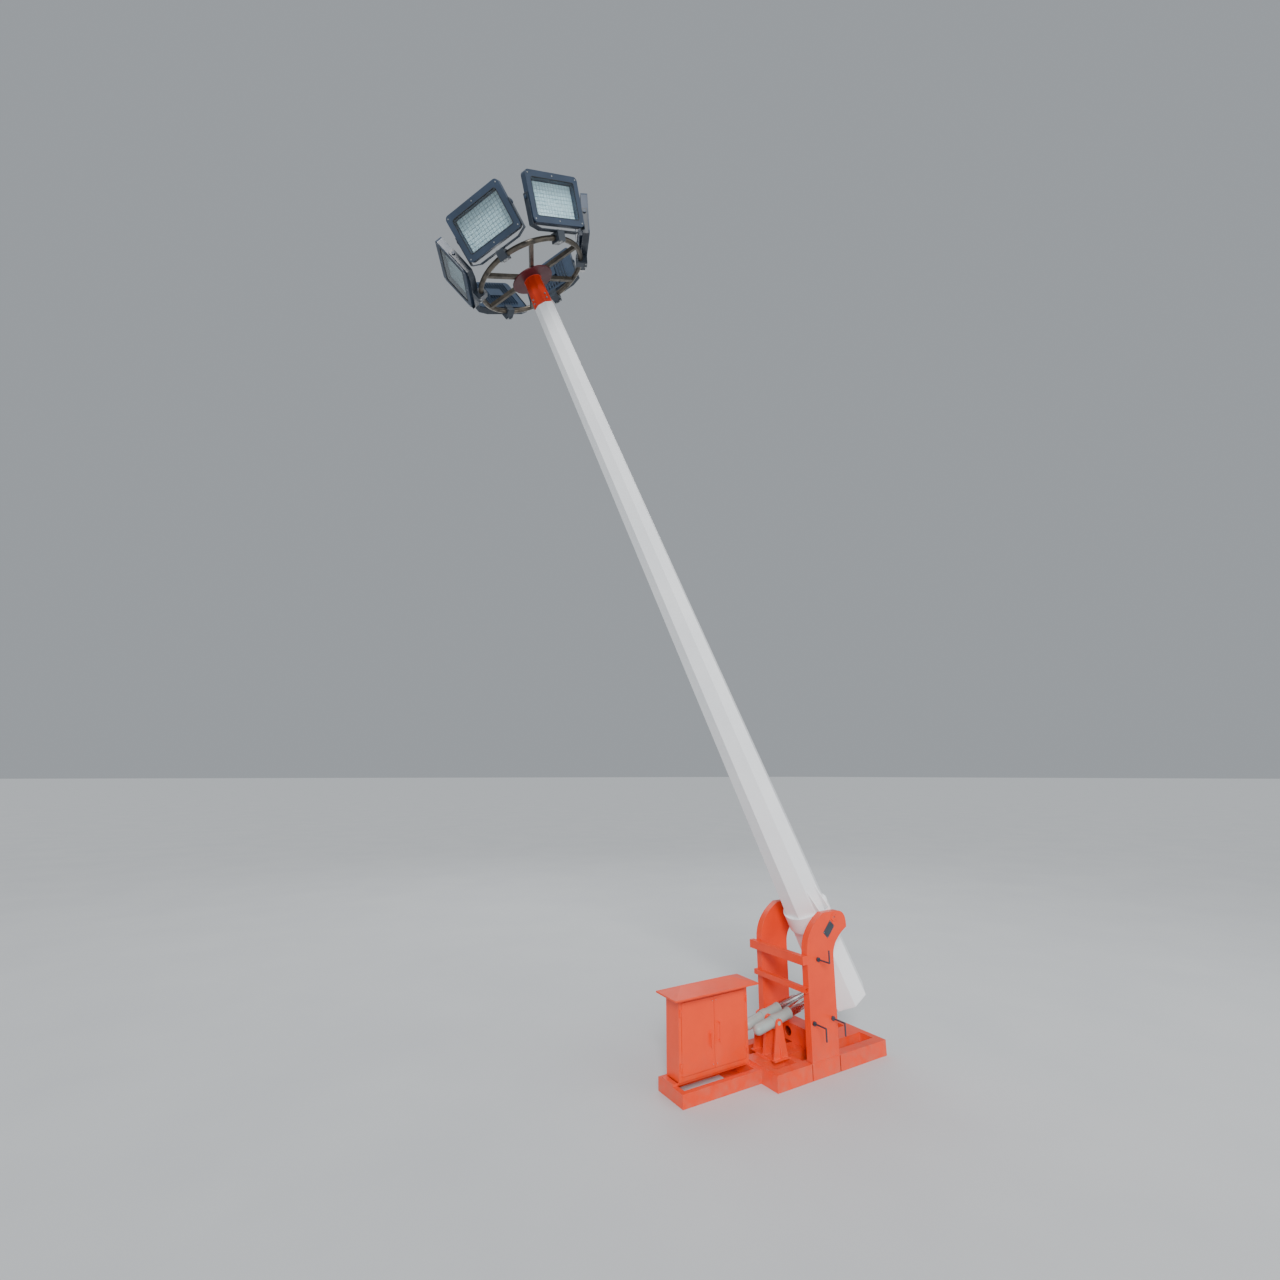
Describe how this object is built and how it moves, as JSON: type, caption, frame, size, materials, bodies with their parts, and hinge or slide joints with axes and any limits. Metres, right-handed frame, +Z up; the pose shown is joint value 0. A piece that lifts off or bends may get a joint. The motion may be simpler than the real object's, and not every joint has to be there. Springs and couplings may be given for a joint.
{
  "type": "tilting lighting mast on a skid",
  "caption": "Skid-mounted lighting mast that tips on trunnions by telescopic rams, with a control cabinet and a ring of floodlights on yokes",
  "frame": {"origin": "on the floor, at the middle of the four anchor holes of the main skid", "axes": "+Z up, +X along the skid from the cabinet towards the mast foot, -Y the side of the cabinet doors and crank handles"},
  "size_m": [4.9854, 1.6184, 8.5106],
  "materials": {
    "skid_paint": "orange machinery enamel over folded steel plate",
    "sheet_paint": "orange powder coat on thin sheet steel",
    "mast_paint": "white polyester coat on galvanised tube",
    "slate_steel": "blue-grey stove enamel on steel",
    "zinc_steel": "zinc-plated steel fasteners",
    "ram_paint": "grey-green primer paint on the barrels",
    "ram_chrome": "hard chrome on the ram stages",
    "bronze": "oiled bronze bush",
    "socket_paint": "red-orange enamel on the head socket",
    "flange_paint": "dark maroon primer",
    "lamp_case": "blue-grey powder coat on die-cast aluminium",
    "lamp_glass": "toughened flat glass",
    "breaker_plastic": "light grey moulded polyamide",
    "plate_zinc": "galvanised sheet",
    "pump_cast": "dark grey paint on the pump set",
    "ballast_iron": "bare cast iron",
    "gland_nylon": "black moulded nylon"
  },
  "bodies": {
    "base": {"skid_main_frame": "skid_paint", "skid_cabinet_frame": "skid_paint", "anchor_feet": "zinc_steel", "upright_near": "skid_paint", "upright_far": "skid_paint", "foot_crossbeam": "skid_paint", "upper_cross_tube": "skid_paint", "lower_cross_tube": "skid_paint", "trunnion_bushes": "bronze", "trunnion_caps": "skid_paint", "cabinet_plinth": "skid_paint", "cabinet_shell": "sheet_paint", "cabinet_roof": "sheet_paint", "cabinet_mounting_plate": "plate_zinc", "circuit_breakers": "breaker_plastic", "pump_unit": "pump_cast", "cable_gland": "gland_nylon", "ram_bracket": "skid_paint", "door_hinge_leaves": "sheet_paint"},
    "mast": {"mast_pole": "mast_paint", "mast_band": "mast_paint", "mast_side_plates": "mast_paint", "trunnion_pins": "zinc_steel", "butt_plate": "mast_paint", "butt_ballast": "ballast_iron", "mast_ram_lugs": "mast_paint", "head_socket": "socket_paint", "socket_bolts": "zinc_steel", "head_flange": "flange_paint", "lamp_ring": "slate_steel", "ring_spokes": "slate_steel", "ring_clamps": "slate_steel", "clamp_bolts": "zinc_steel", "lamp_yokes": "slate_steel"},
    "barrels": {"ram_barrels": "ram_paint"},
    "stage_one": {"ram_stage_one": "ram_chrome"},
    "stage_two": {"ram_stage_two": "ram_chrome"},
    "rods": {"ram_rods": "ram_chrome"},
    "left_door": {"door_left": "sheet_paint"},
    "latch": {"door_lever": "sheet_paint"},
    "right_door": {"door_right": "sheet_paint", "door_pull": "sheet_paint"},
    "upper_crank": {"crank_upper": "slate_steel"},
    "lower_left_crank": {"crank_lower_left": "slate_steel"},
    "lower_right_crank": {"crank_lower_right": "slate_steel"},
    "floodlight_1": {"lamp_1": "lamp_case", "lamp_glass_1": "lamp_glass"},
    "floodlight_2": {"lamp_2": "lamp_case", "lamp_glass_2": "lamp_glass"},
    "floodlight_3": {"lamp_3": "lamp_case", "lamp_glass_3": "lamp_glass"},
    "floodlight_4": {"lamp_4": "lamp_case", "lamp_glass_4": "lamp_glass"},
    "floodlight_5": {"lamp_5": "lamp_case", "lamp_glass_5": "lamp_glass"},
    "floodlight_6": {"lamp_6": "lamp_case", "lamp_glass_6": "lamp_glass"}
  },
  "joints": [
    {"name": "mast_tilt", "type": "hinge", "parent": "base", "child": "mast", "pos_m": [0.105, 0, 1.39], "axis": [0, -1, 0], "range_deg": [-28, 60]},
    {"name": "ram_swing", "type": "hinge", "parent": "base", "child": "barrels", "pos_m": [-0.5, 0, 0.46], "axis": [0, -1, 0], "range_deg": [-6.2, 13.2]},
    {"name": "ram_slide_one", "type": "slide", "parent": "barrels", "child": "stage_one", "axis": [0.9819, 0, 0.1896], "range_m": [-0.1197, 0.2566]},
    {"name": "ram_slide_two", "type": "slide", "parent": "stage_one", "child": "stage_two", "axis": [0.9819, 0, 0.1896], "range_m": [-0.1197, 0.2566]},
    {"name": "ram_slide_three", "type": "slide", "parent": "stage_two", "child": "rods", "axis": [0.9819, 0, 0.1896], "range_m": [-0.1197, 0.2566]},
    {"name": "left_door_hinge", "type": "hinge", "parent": "base", "child": "left_door", "pos_m": [-1.562, -0.014, 0.474], "axis": [0, 0, -1], "range_deg": [0, 110]},
    {"name": "right_door_hinge", "type": "hinge", "parent": "base", "child": "right_door", "pos_m": [-0.79, -0.014, 0.474], "axis": [0, 0, 1], "range_deg": [0, 110]},
    {"name": "latch_turn", "type": "hinge", "parent": "left_door", "child": "latch", "pos_m": [-1.222, -0.005, 0.474], "axis": [0, 1, 0], "range_deg": [0, 90]},
    {"name": "upper_crank_turn", "type": "hinge", "parent": "base", "child": "upper_crank", "pos_m": [-0.158, -0.365, 1.03], "axis": [0, -1, 0], "continuous": true},
    {"name": "lower_left_crank_turn", "type": "hinge", "parent": "base", "child": "lower_left_crank", "pos_m": [-0.255, -0.365, 0.48], "axis": [0, -1, 0], "continuous": true},
    {"name": "lower_right_crank_turn", "type": "hinge", "parent": "base", "child": "lower_right_crank", "pos_m": [0, -0.365, 0.48], "axis": [0, -1, 0], "continuous": true},
    {"name": "floodlight_1_tilt", "type": "hinge", "parent": "mast", "child": "floodlight_1", "pos_m": [-2.90849, 0.3973, 8.22233], "axis": [-0.519, 0.809, -0.2759], "range_deg": [-35, 10]},
    {"name": "floodlight_2_tilt", "type": "hinge", "parent": "mast", "child": "floodlight_2", "pos_m": [-3.45369, 0.67222, 7.93243], "axis": [-0.8781, -0.1045, -0.4669], "range_deg": [-35, 10]},
    {"name": "floodlight_3_tilt", "type": "hinge", "parent": "mast", "child": "floodlight_3", "pos_m": [-3.93652, 0.27492, 7.67571], "axis": [-0.3591, -0.9135, -0.191], "range_deg": [-35, 10]},
    {"name": "floodlight_4_tilt", "type": "hinge", "parent": "mast", "child": "floodlight_4", "pos_m": [-3.87413, -0.3973, 7.70888], "axis": [0.519, -0.809, 0.2759], "range_deg": [-35, 10]},
    {"name": "floodlight_5_tilt", "type": "hinge", "parent": "mast", "child": "floodlight_5", "pos_m": [-3.32893, -0.67222, 7.99877], "axis": [0.8781, 0.1045, 0.4669], "range_deg": [-35, 10]},
    {"name": "floodlight_6_tilt", "type": "hinge", "parent": "mast", "child": "floodlight_6", "pos_m": [-2.84611, -0.27492, 8.2555], "axis": [0.3591, 0.9135, 0.191], "range_deg": [-35, 10]}
  ],
  "couplings": [
    {"joint": "ram_swing", "follows": "mast_tilt", "ratio": 0.21814},
    {"joint": "ram_slide_one", "follows": "mast_tilt", "m_per_rad": 0.24476},
    {"joint": "ram_slide_two", "follows": "mast_tilt", "m_per_rad": 0.24476},
    {"joint": "ram_slide_three", "follows": "mast_tilt", "m_per_rad": 0.24476}
  ]
}
